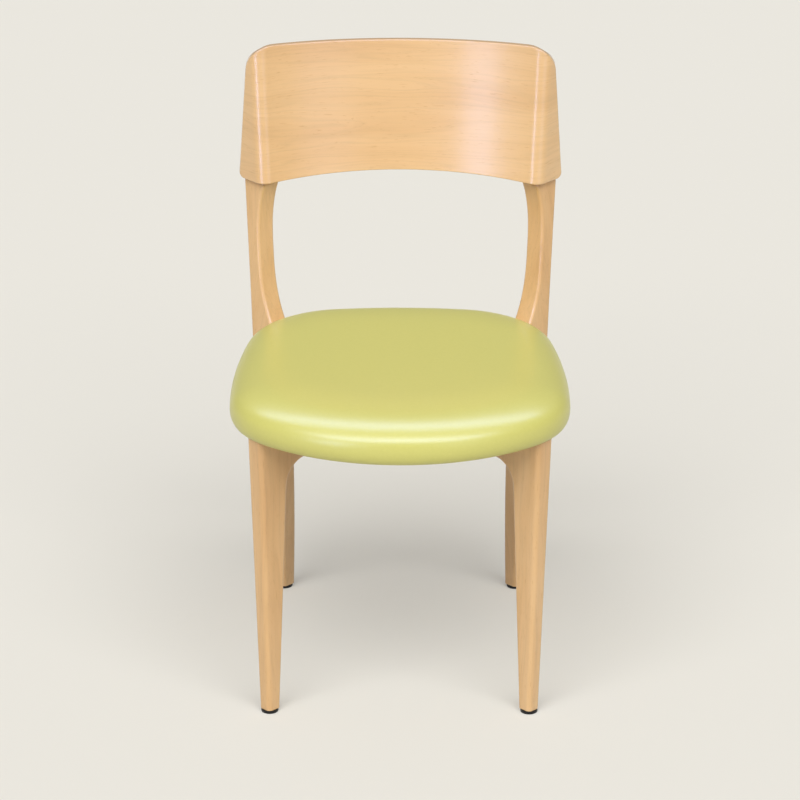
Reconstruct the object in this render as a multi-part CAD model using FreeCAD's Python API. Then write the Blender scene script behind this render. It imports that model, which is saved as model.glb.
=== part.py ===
import FreeCAD, Part
from functools import lru_cache
import math
import os

# Upholstered side chair with a bent plywood back, in millimetres.
# +Z is up, the sitter faces -Y, and +X is the right-hand side seen from the front.
# The origin is on the floor, below the middle of the chair's box.

Vec = FreeCAD.Vector
UP = Vec(0, 0, 1)
ROOT2 = math.sqrt(2.0)

# Seat pad: plan outline of tangent arcs, then its height, edge and cover
SEAT_BASE = 406.0
SEAT_HALF_WIDTH = 233.0
SEAT_FRONT = -298.0
SEAT_BACK = 195.0
SEAT_WIDEST = -93.0
SEAT_FRONT_RADIUS = 286.0
SEAT_FRONT_CORNER = 130.0
SEAT_SIDE_RADIUS = 980.0
SEAT_REAR_CORNER = 141.0
SEAT_BACK_RADIUS = 775.0
PAD_EDGE = 54.0
PAD_CROWN = 6.0
PAD_NOSE = 20.0
PAD_TUCK = 12.0
PAD_SHOULDER = 44.0
CROWN_INSET = 112.0
COVER_WALL = 1.2
COVER_TURN_IN = 42.0
BOARD_THICKNESS = 12.0
BOARD_INSET = 25.0
NOTCH_GAP = 0.4
NOTCH_RELIEF = 9.0

# Front legs: planks set diagonally, each with a flared ear for the front rail
FRONT_LEG_INSET = 46.5
FRONT_LEG_SETBACK = 82.0
FRONT_LEG_THICKNESS = 28.0
FRONT_LEG_WIDTH = 49.5
FRONT_LEG_LEAN = 3.8
FRONT_LEG_RAKE = 5.7
FRONT_FOOT = 21.0
LEG_HORN = 14.0
FRONT_EAR = 86.0
FLARE_RADIUS = 36.0
FRONT_EDGE_ROUND = 7.0
BACK_EDGE_ROUND = 6.0
INNER_EDGE_ROUND = 4.0

# Glides
GLIDE_DIAMETER = 24.0
GLIDE_HEIGHT = 5.0
GLIDE_ROUND = 1.2
PIN_DIAMETER = 4.0
PIN_LENGTH = 24.0
PIN_FLOOR = 2.0

# Rear legs: bent diagonal planks that run on up as the back posts
REAR_LEG_INSET = 54.0
REAR_LEG_SETBACK = 78.0
REAR_FOOT = 23.5
REAR_LEG_THICKNESS = 31.0
REAR_KNEE_WIDTH = 50.0
REAR_POST_WIDTH = 41.0
SHIN_TAPER_TOP = 260.0
SCOOP_DEPTH = 17.0
SCOOP_POWER = 2.7
SCOOP_BELOW_EDGE = 9.0
SCOOP_BELOW_BACK = 5.0
FACE_KNEE_RISE = 19.0
FACE_SLOPE_UP = 0.1345
FACE_SLOPE_DOWN = 0.1376
FACE_KNEE_BLEND = 25.0
HEEL_KNEE_RISE = 24.0
HEEL_SLOPE_UP = 0.2018
HEEL_SLOPE_DOWN = 0.055
HEEL_KNEE_BLEND = 30.0
FOOT_ROUND = 6.0
POST_ROUND = 4.0
POST_TOP_EASE = 3.0
POST_BELOW_TOP = 40.0
POST_TOP_TAPER = 20.0
SECTION_PITCH = 16.0

# Backrest: one bent plywood panel whose wings wrap the posts
BACK_RISE = 241.0
BACK_HEIGHT = 189.0
BACK_THICKNESS = 10.0
BACK_HOUSING = 2.8
BACK_SAGITTA_LOW = 55.0
BACK_SAGITTA_TOP = 57.0
BACK_ARCH = 4.5
BACK_DIP = 4.3
BEND_RADIUS = 18.0
WING_ANGLE = 50.0
WING_FLAT_LOW = 40.0
WING_FLAT_TOP = 6.0
RIDGE_LEAD = 3.0
WING_TRIM = 1.0
BACK_TOP_CORNER = 27.0
BACK_LOW_CORNER = 7.0

# Rails, corner blocks and dowels
FRONT_RAIL_HEIGHT = 42.0
SIDE_RAIL_HEIGHT = 40.0
SIDE_RAIL_THICKNESS = 18.0
REAR_RAIL_HEIGHT = 40.0
REAR_RAIL_THICKNESS = 18.0
RAIL_EDGE_ROUND = 3.0
RAIL_MARGIN = 2.0
JOINT_SINK = 8.0
GLUE_LINE = 0.1
BLOCK_LEG = 58.0
BLOCK_HEIGHT = 24.0
BLOCK_CUT_CORNER = 9.0
DOWEL_DIAMETER = 8.0
DOWEL_LENGTH = 26.0
DOWEL_SPACING = 14.0

# Screws, bolts, tee nuts and plugs
SCREW_DIAMETER = 4.0
SCREW_HEAD_DIAMETER = 8.0
SCREW_HEAD_HEIGHT = 3.0
HEAD_ROUND = 1.0
SCREW_BITE = 12.0
BLOCK_SCREW_OFFSET = 39.0
COUNTERBORE_DIAMETER = 9.0
COUNTERBORE_DEPTH = 6.0
BOLT_DIAMETER = 6.0
BOLT_HEAD_DIAMETER = 12.0
BOLT_HEAD_HEIGHT = 3.5
BOLT_OFFSET = 19.0
BOLT_SHORT_OF_TOP = 2.0
TEE_FLANGE_DIAMETER = 18.0
TEE_FLANGE_HEIGHT = 1.2
TEE_BARREL_DIAMETER = 8.0
TEE_BARREL_LENGTH = 9.0
BACK_SCREWS_PER_POST = 2
BACK_SCREW_RISE = 48.0
BACK_SCREW_SPACING = 75.0
BACK_SCREW_INSET = 13.0
BACK_SCREW_BITE = 6.0
PLUG_DIAMETER = 10.0
PLUG_LENGTH = 6.0

# Places worked out from the sizes above
BACK_LOW = SEAT_BASE + BACK_RISE
BACK_TOP = BACK_LOW + BACK_HEIGHT
POST_TOP = BACK_TOP - POST_BELOW_TOP
FRONT_RAIL_LOW = SEAT_BASE - FRONT_RAIL_HEIGHT
SIDE_RAIL_LOW = SEAT_BASE - SIDE_RAIL_HEIGHT
REAR_RAIL_LOW = SEAT_BASE - REAR_RAIL_HEIGHT
SCOOP_LOW = SEAT_BASE + PAD_EDGE - SCOOP_BELOW_EDGE
SCOOP_HIGH = BACK_LOW - SCOOP_BELOW_BACK
BOARD_LOW = SEAT_BASE + COVER_WALL
BOARD_TOP = BOARD_LOW + BOARD_THICKNESS
BLOCK_LOW = SEAT_BASE - BLOCK_HEIGHT
LEG_TOP = SEAT_BASE + LEG_HORN
FRONT_LEG_X = SEAT_HALF_WIDTH - FRONT_LEG_INSET
FRONT_LEG_Y = SEAT_FRONT + FRONT_LEG_SETBACK
REAR_LEG_X = SEAT_HALF_WIDTH - REAR_LEG_INSET
REAR_LEG_Y = SEAT_BACK - REAR_LEG_SETBACK
FRONT_U = (FRONT_LEG_Y + FRONT_LEG_X) / ROOT2
FRONT_V = (FRONT_LEG_Y - FRONT_LEG_X) / ROOT2
REAR_U = (REAR_LEG_Y + REAR_LEG_X) / ROOT2
REAR_V = (REAR_LEG_Y - REAR_LEG_X) / ROOT2
FAR = 2 * SEAT_HALF_WIDTH


def diagonal(u, v, z=0.0):
    """Point in the frame of the right-hand legs: u runs outward and back, v inward and back."""
    return Vec((u - v) / ROOT2, (u + v) / ROOT2, z)


def mirrored(shape):
    return shape.mirror(Vec(0, 0, 0), Vec(1, 0, 0))


def with_mirror(shapes):
    return list(shapes) + [mirrored(shape) for shape in shapes]


def arc(start, middle, end):
    return Part.Arc(start, middle, end).toShape()


def line(start, end):
    return Part.makeLine(start, end)


def prism(points, direction):
    """Solid swept from a flat polygon."""
    return Part.Face(Part.makePolygon(points + points[:1])).extrude(direction)


def rod(start, direction, length, diameter):
    return Part.makeCylinder(diameter / 2, length, start, direction)


def corner_arc(corner, toward, away, radius):
    """Start, middle and end of the round in a corner between two unit directions."""
    half = toward.getAngle(away) / 2
    run = radius * math.tan(half)
    inward = (away - toward).normalize()
    centre = corner + inward * (radius / math.cos(half))
    return corner - toward * run, centre - inward * radius, corner + away * run


def edges_at(shape, points):
    """The edge of a shape that passes nearest to each point."""
    probes = [Part.Vertex(point) for point in points]
    return [min(shape.Edges, key=lambda edge: edge.distToShape(probe)[0]) for probe in probes]


def ring_at(shape, centre):
    """The round edge of a shape about a point on its axis."""
    return [min(shape.Edges, key=lambda edge: edge.CenterOfMass.distanceToPoint(centre))]


def screw(seat, direction, length, shank, head, head_height):
    """Round-headed screw: its head bears on the seat and its shank runs along the direction."""
    top = seat - direction * head_height
    cap = rod(top, direction, head_height, head)
    cap = cap.makeFillet(HEAD_ROUND, ring_at(cap, top))
    return cap.fuse(rod(seat, direction, length, shank)).removeSplitter()


def wood_screw(seat, direction, length):
    return screw(seat, direction, length, SCREW_DIAMETER, SCREW_HEAD_DIAMETER, SCREW_HEAD_HEIGHT)


# Seat pad

def right_hand_centre(first, first_reach, second, second_reach):
    """Centre of an arc that lies at given distances from two other centres."""
    span = second - first
    along = (span.Length ** 2 + first_reach ** 2 - second_reach ** 2) / (2 * span.Length)
    aside = math.sqrt(first_reach ** 2 - along ** 2)
    unit = span * (1 / span.Length)
    normal = Vec(-unit.y, unit.x, 0)
    return max((first + unit * along + normal * aside, first + unit * along - normal * aside),
               key=lambda point: point.x)


def heading(centre, other):
    return math.atan2(other.y - centre.y, other.x - centre.x)


def seat_outline(inset, z):
    """Closed wire of eight tangent arcs, drawn in from the pad's widest outline."""
    back = Vec(0, SEAT_BACK - SEAT_BACK_RADIUS, 0)
    front = Vec(0, SEAT_FRONT + SEAT_FRONT_RADIUS, 0)
    side = Vec(SEAT_HALF_WIDTH - SEAT_SIDE_RADIUS, SEAT_WIDEST, 0)
    rear_corner = right_hand_centre(back, SEAT_BACK_RADIUS - SEAT_REAR_CORNER,
                                    side, SEAT_SIDE_RADIUS - SEAT_REAR_CORNER)
    front_corner = right_hand_centre(front, SEAT_FRONT_RADIUS - SEAT_FRONT_CORNER,
                                     side, SEAT_SIDE_RADIUS - SEAT_FRONT_CORNER)
    rear_turn = heading(back, rear_corner)
    rear_side = heading(side, rear_corner)
    front_side = heading(side, front_corner)
    front_turn = heading(front, front_corner)

    def stretch(centre, radius, start, end, flip=1):
        points = []
        for angle in (start, (start + end) / 2, end):
            reach = radius - inset
            points.append(Vec(flip * (centre.x + reach * math.cos(angle)),
                              centre.y + reach * math.sin(angle), z))
        return arc(*points)

    half = [(rear_corner, SEAT_REAR_CORNER, rear_turn, rear_side),
            (side, SEAT_SIDE_RADIUS, rear_side, front_side),
            (front_corner, SEAT_FRONT_CORNER, front_side, front_turn)]
    edges = [stretch(back, SEAT_BACK_RADIUS, math.pi - rear_turn, rear_turn)]
    edges += [stretch(*piece) for piece in half]
    edges.append(stretch(front, SEAT_FRONT_RADIUS, front_turn, -math.pi - front_turn))
    edges += [stretch(centre, radius, end, start, -1) for centre, radius, start, end in reversed(half)]
    return Part.Wire(edges)


@lru_cache
def pad_solid(wall):
    """The whole pad, or its inside one cover thickness in: drawn-in sides and a crowned top."""
    lean = 1 - math.sqrt(0.5)
    upper = PAD_EDGE - PAD_NOSE
    stations = [(PAD_TUCK, 0.0),
                (PAD_TUCK * lean, PAD_NOSE * lean),
                (0.0, PAD_NOSE),
                (PAD_SHOULDER * lean, PAD_NOSE + upper * (1 - lean)),
                (PAD_SHOULDER, PAD_EDGE),
                ((PAD_SHOULDER + CROWN_INSET) / 2, PAD_EDGE + PAD_CROWN * (1 - lean)),
                (CROWN_INSET, PAD_EDGE + PAD_CROWN)]
    height = PAD_EDGE + PAD_CROWN
    shrink = (height - 2 * wall) / height
    return Part.makeLoft([seat_outline(inset + wall, SEAT_BASE + wall + rise * shrink)
                          for inset, rise in stations], True, False)


@lru_cache
def post_notches(grow):
    """Room for both posts where they pass the pad's rear corners."""
    above = SEAT_BASE + PAD_EDGE + PAD_CROWN + NOTCH_RELIEF
    heights = [SEAT_BASE - NOTCH_RELIEF, SEAT_BASE, SCOOP_LOW, above]
    return with_mirror([post_stretch(low, high, grow=grow, inward=NOTCH_RELIEF, behind=FAR)
                        for low, high in zip(heights, heights[1:])])


def slab(inset, low, thickness):
    return Part.Face(seat_outline(inset, low)).extrude(UP * thickness)


def seat_cover():
    inside = pad_solid(COVER_WALL).cut(post_notches(NOTCH_GAP + COVER_WALL))
    opening = slab(PAD_TUCK + COVER_TURN_IN, SEAT_BASE - COVER_WALL, 2 * COVER_WALL)
    return pad_solid(0.0).cut(post_notches(NOTCH_GAP)).cut([inside, opening] + seat_bolts())


def seat_board():
    board = slab(BOARD_INSET, BOARD_LOW, BOARD_THICKNESS)
    holes = post_notches(NOTCH_GAP + COVER_WALL)[:]
    for place in bolt_places(BOARD_LOW):
        holes.append(rod(place, UP, BOARD_THICKNESS, TEE_BARREL_DIAMETER))
        holes.append(rod(place + UP * (BOARD_THICKNESS - TEE_FLANGE_HEIGHT), UP,
                         TEE_FLANGE_HEIGHT, TEE_FLANGE_DIAMETER))
    return board.cut(holes)


def seat_foam():
    foam = pad_solid(COVER_WALL).cut(post_notches(NOTCH_GAP + COVER_WALL))
    return foam.cut(slab(BOARD_INSET, BOARD_LOW, BOARD_THICKNESS))


def dust_cover():
    sheet = slab(PAD_TUCK + COVER_TURN_IN, SEAT_BASE, COVER_WALL)
    return sheet.cut([rod(place, UP, COVER_WALL, BOLT_DIAMETER) for place in bolt_places(SEAT_BASE)])


def tee_nuts():
    nuts = []
    for place in bolt_places(BOARD_TOP):
        flange = rod(place - UP * TEE_FLANGE_HEIGHT, UP, TEE_FLANGE_HEIGHT, TEE_FLANGE_DIAMETER)
        barrel = rod(place - UP * TEE_BARREL_LENGTH, UP, TEE_BARREL_LENGTH, TEE_BARREL_DIAMETER)
        bore = rod(place - UP * TEE_BARREL_LENGTH, UP, TEE_BARREL_LENGTH, BOLT_DIAMETER)
        nuts.append(flange.fuse(barrel).removeSplitter().cut(bore))
    return nuts


def seat_bolts():
    length = BOARD_TOP - BOLT_SHORT_OF_TOP - BLOCK_LOW
    return [screw(place, UP, length, BOLT_DIAMETER, BOLT_HEAD_DIAMETER, BOLT_HEAD_HEIGHT)
            for place in bolt_places(BLOCK_LOW)]


# Front legs

def front_faces(z):
    """Inner front face and outer back face of the front leg's plank at one height."""
    above_foot = (z - GLIDE_HEIGHT) / (SEAT_BASE - GLIDE_HEIGHT)
    face = FRONT_U - FRONT_LEG_RAKE * (1 - above_foot)
    return face, face + FRONT_FOOT + (FRONT_LEG_THICKNESS - FRONT_FOOT) * above_foot


@lru_cache
def front_leg_blank():
    """The raked diagonal plank before its outline is cut, thinner at the foot."""
    aside = FRONT_V - FAR
    foot_face, foot_heel = front_faces(GLIDE_HEIGHT)
    top_face, top_heel = front_faces(LEG_TOP)
    points = [diagonal(foot_face, aside, GLIDE_HEIGHT), diagonal(foot_heel, aside, GLIDE_HEIGHT),
              diagonal(top_heel, aside, LEG_TOP), diagonal(top_face, aside, LEG_TOP)]
    return prism(points, diagonal(0, 2 * FAR))


def front_leg():
    """Right front leg: a tapered plank with a flared ear, its top shaped to the pad."""
    def at(across, z):
        return diagonal(FRONT_U, FRONT_V + across, z)

    foot_outer = at(FRONT_LEG_LEAN, GLIDE_HEIGHT)
    foot_inner = at(FRONT_LEG_LEAN + FRONT_FOOT, GLIDE_HEIGHT)
    armpit = at(FRONT_LEG_WIDTH, FRONT_RAIL_LOW)
    start, middle, end = corner_arc(armpit, (armpit - foot_inner).normalize(), diagonal(0, 1), FLARE_RADIUS)
    ear_low = at(FRONT_EAR, FRONT_RAIL_LOW)
    ear_high = at(FRONT_EAR, LEG_TOP)
    top = at(0, LEG_TOP)
    edges = [line(foot_outer, foot_inner), line(foot_inner, start), arc(start, middle, end),
             line(end, ear_low), line(ear_low, ear_high), line(ear_high, top), line(top, foot_outer)]
    outline = Part.Face(Part.Wire(edges))
    outline.translate(diagonal(-FAR, 0))
    leg = front_leg_blank().common(outline.extrude(diagonal(2 * FAR, 0)))
    inner_profile = [(foot_inner + start) * 0.5, middle, (end + ear_low) * 0.5]
    outer_profile = [(foot_outer + top) * 0.5]

    def on_face(points, side):
        return [point + diagonal(front_faces(point.z)[side] - FRONT_U, 0) for point in points]

    inner = on_face(inner_profile, 0)
    outer = on_face(outer_profile, 0)
    heel = on_face(inner_profile + outer_profile, 1)
    leg = leg.makeFillet(INNER_EDGE_ROUND, edges_at(leg, inner))
    leg = leg.makeFillet(FRONT_EDGE_ROUND, edges_at(leg, outer))
    leg = leg.makeFillet(BACK_EDGE_ROUND, edges_at(leg, heel))
    return leg.cut([pad_solid(-NOTCH_GAP), glide_pins()[0]] + dowels())


# Rear legs

def bent(z, knee, down, up, blend):
    """Offset of a face that leans one way below a knee and the other way above it."""
    rise = z - knee
    return (up - down) / 2 * rise + (up + down) / 2 * (math.hypot(rise, blend) - blend)


def face_v(z):
    """Outer front face of the rear leg."""
    return REAR_V + bent(z, SEAT_BASE + FACE_KNEE_RISE, FACE_SLOPE_DOWN, FACE_SLOPE_UP, FACE_KNEE_BLEND)


def share(z, low, high):
    return min(1.0, max(0.0, (z - low) / (high - low)))


def back_line(z):
    """Line of the outer back face, from which the widths of the rear leg are measured."""
    knee = SEAT_BASE + HEEL_KNEE_RISE
    return REAR_U + REAR_KNEE_WIDTH + bent(z, knee, HEEL_SLOPE_DOWN, HEEL_SLOPE_UP, HEEL_KNEE_BLEND)


def heel_u(z):
    """Outer back face of the rear leg, drawn in behind the panel."""
    return back_line(z) - POST_TOP_TAPER * share(z, SCOOP_HIGH, POST_TOP)


def front_u(z):
    """Inner front face of the rear leg: tapered shin, wide knee, scooped post."""
    if z <= SEAT_BASE:
        shin = REAR_FOOT + (REAR_KNEE_WIDTH - REAR_FOOT) * share(z, GLIDE_HEIGHT, SEAT_BASE)
        return back_line(z) - shin
    knee = REAR_KNEE_WIDTH + (REAR_POST_WIDTH - REAR_KNEE_WIDTH) * share(z, SEAT_BASE, SCOOP_LOW)
    across = 2 * share(z, SCOOP_LOW, SCOOP_HIGH) - 1
    return back_line(z) - knee + SCOOP_DEPTH * (1 - abs(across) ** SCOOP_POWER)


def inner_v(z):
    """Inner rear face of the rear leg."""
    thinning = (1 - share(z, GLIDE_HEIGHT, SHIN_TAPER_TOP)) ** 2
    return face_v(z) + REAR_LEG_THICKNESS - (REAR_LEG_THICKNESS - REAR_FOOT) * thinning


def post_section(z, grow=0.0, ahead=0.0, inward=0.0, behind=0.0):
    """Rounded rectangle across the rear leg at one height, grown or stretched on request."""
    front = front_u(z) - grow - ahead
    back = heel_u(z) + grow + behind
    outer = face_v(z) - grow
    inner = inner_v(z) + grow + inward
    radius = FOOT_ROUND + (POST_ROUND - FOOT_ROUND) * share(z, GLIDE_HEIGHT, SEAT_BASE)
    lean = radius * (1 - math.sqrt(0.5))
    turns = [(front, outer, 1, 1), (back, outer, -1, 1), (back, inner, -1, -1), (front, inner, 1, -1)]
    corners = []
    for u, v, along, across in turns:
        ends = [diagonal(u, v + across * radius, z), diagonal(u + along * radius, v, z)]
        if along != across:
            ends.reverse()
        corners.append((ends[0], diagonal(u + along * lean, v + across * lean, z), ends[1]))
    edges = []
    for corner, following in zip(corners, corners[1:] + corners[:1]):
        edges += [arc(*corner), line(corner[2], following[0])]
    return Part.Wire(edges)


def post_stretch(low, high, **spread):
    """Smooth length of the rear leg between two heights."""
    spans = max(1, round((high - low) / SECTION_PITCH))
    heights = [low + (high - low) * count / spans for count in range(spans + 1)]
    return Part.makeLoft([post_section(z, **spread) for z in heights], True, False)


def post_front(z):
    """Front corner of the post's full width, where the panel bends round it."""
    return diagonal(back_line(z) - REAR_POST_WIDTH, face_v(z), z)


@lru_cache
def rear_leg_blank():
    """Right rear leg before it is drilled and let into the panel."""
    rim = POST_TOP - POST_TOP_EASE
    shin = post_stretch(GLIDE_HEIGHT, SEAT_BASE)
    knee = post_stretch(SEAT_BASE, SCOOP_LOW)
    scoop = post_stretch(SCOOP_LOW, SCOOP_HIGH)
    head = post_stretch(SCOOP_HIGH, rim)
    cap = Part.makeLoft([post_section(rim), post_section(POST_TOP, -POST_TOP_EASE)], True, True)
    return shin.fuse([knee, scoop, head, cap])


def rear_leg():
    leg = rear_leg_blank().cut([panel_seat()])
    bores = []
    for seat, length in back_screw_seats():
        bores.append(rod(seat, diagonal(0, -1), length, SCREW_DIAMETER))
        bores.append(rod(seat, diagonal(0, 1), REAR_LEG_THICKNESS, PLUG_DIAMETER))
    return leg.cut(bores + dowels() + [glide_pins()[1]])


# Backrest

def panel_ridge(height_share):
    """Foremost point of the right-hand bend at a share of the panel's height."""
    low, top = post_front(BACK_LOW), post_front(BACK_TOP)
    lead = Vec(RIDGE_LEAD, BACK_THICKNESS - BACK_HOUSING, 0)
    return low + (top - low) * height_share - lead


def wing_along():
    """Direction in which the right wing runs out and back."""
    angle = math.radians(WING_ANGLE)
    return Vec(math.cos(angle), math.sin(angle), 0)


def panel_lines(height_share):
    """Plan points of the panel's right half, front face then rear, at a share of its height."""
    ridge = panel_ridge(height_share)
    flat = WING_FLAT_LOW + (WING_FLAT_TOP - WING_FLAT_LOW) * height_share
    sagitta = BACK_SAGITTA_LOW + (BACK_SAGITTA_TOP - BACK_SAGITTA_LOW) * height_share
    hub = ridge + Vec(0, BEND_RADIUS, 0)
    reach = (sagitta ** 2 + ridge.x ** 2) / (2 * sagitta)
    bow = Vec(0, ridge.y + sagitta + BEND_RADIUS - reach, ridge.z)
    across = (hub - bow).normalize()
    along = wing_along()
    outward = Vec(along.y, -along.x, 0)
    halfway = (outward - across).normalize()

    def surface(depth):
        bow_radius = reach - BEND_RADIUS + depth
        bend = BEND_RADIUS - depth
        return {"middle": bow + Vec(0, bow_radius, 0), "join": bow + across * bow_radius,
                "crest": hub + halfway * bend, "wing": hub + outward * bend,
                "end": hub + outward * bend + along * flat}

    return surface(0.0), surface(BACK_THICKNESS)


def flipped(point):
    return Vec(-point.x, point.y, point.z)


def panel_wire(height_share):
    """Closed plan section of the panel: bow, two tight bends and two flat wings."""
    face, rear = panel_lines(height_share)
    half = [arc(face["join"], face["crest"], face["wing"]), line(face["wing"], face["end"]),
            line(face["end"], rear["end"]), line(rear["end"], rear["wing"]),
            arc(rear["wing"], rear["crest"], rear["join"])]
    edges = [arc(flipped(face["join"]), face["middle"], face["join"])] + half
    edges.append(arc(rear["join"], rear["middle"], flipped(rear["join"])))
    edges += [mirrored(edge) for edge in reversed(half)]
    return Part.Wire(Part.__sortEdges__(edges))


def panel_outline():
    """Front outline of the panel: top dipped between the ridges, arched foot, rounded corners."""
    low_ridge = panel_ridge(0.0).x
    low_side = panel_lines(0.0)[0]["end"].x - WING_TRIM
    top_side = panel_lines(1.0)[0]["end"].x - WING_TRIM
    sweep = (panel_ridge(1.0).x ** 2 + BACK_DIP ** 2) / (2 * BACK_DIP)
    shoulder = BACK_TOP - BACK_DIP + sweep - math.sqrt(sweep ** 2 - top_side ** 2)

    def at(x, z):
        return Vec(x, -FAR, z)

    right, left = at(low_ridge, BACK_LOW), at(-low_ridge, BACK_LOW)
    corners = [at(low_side, BACK_LOW), at(top_side, shoulder),
               at(-top_side, shoulder), at(-low_side, BACK_LOW)]
    edges = [line(right, corners[0]), line(corners[0], corners[1]),
             arc(corners[1], at(0, BACK_TOP - BACK_DIP), corners[2]), line(corners[2], corners[3]),
             line(corners[3], left), arc(left, at(0, BACK_LOW + BACK_ARCH), right)]
    blank = Part.Face(Part.Wire(edges)).extrude(Vec(0, 2 * FAR, 0))
    middles = [corner + Vec(0, FAR, 0) for corner in corners]
    blank = blank.makeFillet(BACK_LOW_CORNER, edges_at(blank, [middles[0], middles[3]]))
    return blank.makeFillet(BACK_TOP_CORNER, edges_at(blank, [middles[1], middles[2]]))


def backrest_panel():
    over = (BACK_ARCH + BACK_DIP) / BACK_HEIGHT
    panel = Part.makeLoft([panel_wire(-over), panel_wire(1 + over)], True, True)
    bores = [rod(seat, diagonal(0, -1), length, SCREW_DIAMETER) for seat, length in back_screw_seats()]
    return panel.common(panel_outline()).cut(with_mirror(bores))


def panel_seat():
    """Everything in front of the panel's rear face, which the right post is cut back to."""
    wires = []
    for height_share in (0.0, 1.0):
        rear = panel_lines(height_share)[1]
        start = rear["middle"]
        far_wing = rear["end"] + wing_along() * FAR
        far_front = Vec(far_wing.x, -FAR, start.z)
        near_front = Vec(0, -FAR, start.z)
        chord = rear["join"] - start
        radius = chord.Length ** 2 / (-2 * chord.y)
        sweep = math.asin(rear["join"].x / radius) / 2
        middle = start + Vec(radius * math.sin(sweep), radius * (math.cos(sweep) - 1), 0)
        bend = arc(rear["join"], rear["crest"], rear["wing"])
        wires.append(Part.Wire([arc(start, middle, rear["join"]), bend, line(rear["wing"], far_wing),
                                line(far_wing, far_front), line(far_front, near_front),
                                line(near_front, start)]))
    return Part.makeLoft(wires, True, True)


@lru_cache
def back_screw_seats():
    """Where each right-hand back screw's head bears, and how long its shank is."""
    along = wing_along()
    seats = []
    for step in range(BACK_SCREWS_PER_POST):
        z = BACK_LOW + BACK_SCREW_RISE + step * BACK_SCREW_SPACING
        u = back_line(z) - REAR_POST_WIDTH + BACK_SCREW_INSET
        wing = panel_lines((z - BACK_LOW) / BACK_HEIGHT)[1]["wing"]
        run = u - (wing.x + wing.y) / ROOT2
        panel_v = (wing.y - wing.x) / ROOT2 + run * (along.y - along.x) / (along.x + along.y)
        head_v = inner_v(z) - PLUG_LENGTH - SCREW_HEAD_HEIGHT
        seats.append((diagonal(u, head_v, z), head_v - panel_v + BACK_SCREW_BITE))
    return seats


def back_screws():
    return with_mirror([wood_screw(seat, diagonal(0, -1), length) for seat, length in back_screw_seats()])


def back_plugs():
    """Wooden plugs over the back screws, flush with the posts."""
    blank = rear_leg_blank()
    plugs = []
    for seat, length in back_screw_seats():
        start = seat + diagonal(0, SCREW_HEAD_HEIGHT)
        plugs.append(rod(start, diagonal(0, 1), REAR_LEG_THICKNESS, PLUG_DIAMETER).common(blank))
    return with_mirror(plugs)


# Rails, blocks and dowels

def leg_corner(z):
    """Front and inner corners of the right rear leg at one height."""
    return diagonal(front_u(z), face_v(z), z), diagonal(front_u(z), inner_v(z), z)


def side_rail_span():
    """Outer and inner face of the right side rail."""
    outer = leg_corner(SEAT_BASE - SIDE_RAIL_HEIGHT / 2)[0].x - RAIL_MARGIN
    return outer, outer - SIDE_RAIL_THICKNESS


def front_rail_span():
    """Front and rear face of the front rail, flush with the ears of the legs."""
    front = FRONT_LEG_Y + FRONT_EAR / ROOT2
    return front, front + FRONT_LEG_THICKNESS / ROOT2


def rear_rail_span():
    """Front and rear face of the rear rail."""
    front = leg_corner(SEAT_BASE - REAR_RAIL_HEIGHT / 2)[1].y + RAIL_MARGIN
    return front, front + REAR_RAIL_THICKNESS


def eased_rail(points, height):
    """Straight rail with its two long lower edges rounded."""
    rail = prism(points, UP * height)
    sides = [(points[0] + points[1]) * 0.5, (points[2] + points[3]) * 0.5]
    return rail.makeFillet(RAIL_EDGE_ROUND, edges_at(rail, sides))


def front_rail():
    front, rear = front_rail_span()
    short = FRONT_LEG_X - FRONT_EAR / ROOT2
    long = short + FRONT_LEG_THICKNESS / ROOT2
    z = FRONT_RAIL_LOW
    rail = eased_rail([Vec(-short, front, z), Vec(short, front, z), Vec(long, rear, z), Vec(-long, rear, z)],
                      FRONT_RAIL_HEIGHT)
    return rail.cut(with_mirror(dowels() + block_screws()))


def side_rail():
    outer, inner = side_rail_span()
    z = SIDE_RAIL_LOW
    front_line = ROOT2 * (FRONT_U + FRONT_LEG_THICKNESS - JOINT_SINK)
    corner = leg_corner(z)[0]
    rear_line = corner.x + corner.y + ROOT2 * JOINT_SINK
    rail = eased_rail([Vec(outer, front_line - outer, z), Vec(outer, rear_line - outer, z),
                       Vec(inner, rear_line - inner, z), Vec(inner, front_line - inner, z)], SIDE_RAIL_HEIGHT)
    leg = post_stretch(SIDE_RAIL_LOW, SEAT_BASE, grow=GLUE_LINE, inward=FAR, behind=FAR)
    return rail.cut([front_leg_blank(), leg] + dowels() + block_screws())


def rear_rail():
    front, rear = rear_rail_span()
    z = REAR_RAIL_LOW
    corner = leg_corner(z)[1]
    reach = corner.x - corner.y + ROOT2 * JOINT_SINK
    rail = eased_rail([Vec(-front - reach, front, z), Vec(front + reach, front, z),
                       Vec(rear + reach, rear, z), Vec(-rear - reach, rear, z)], REAR_RAIL_HEIGHT)
    leg = post_stretch(REAR_RAIL_LOW, SEAT_BASE, grow=GLUE_LINE, ahead=SEAT_HALF_WIDTH, behind=FAR)
    return rail.cut(with_mirror([leg] + dowels() + block_screws()))


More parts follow.
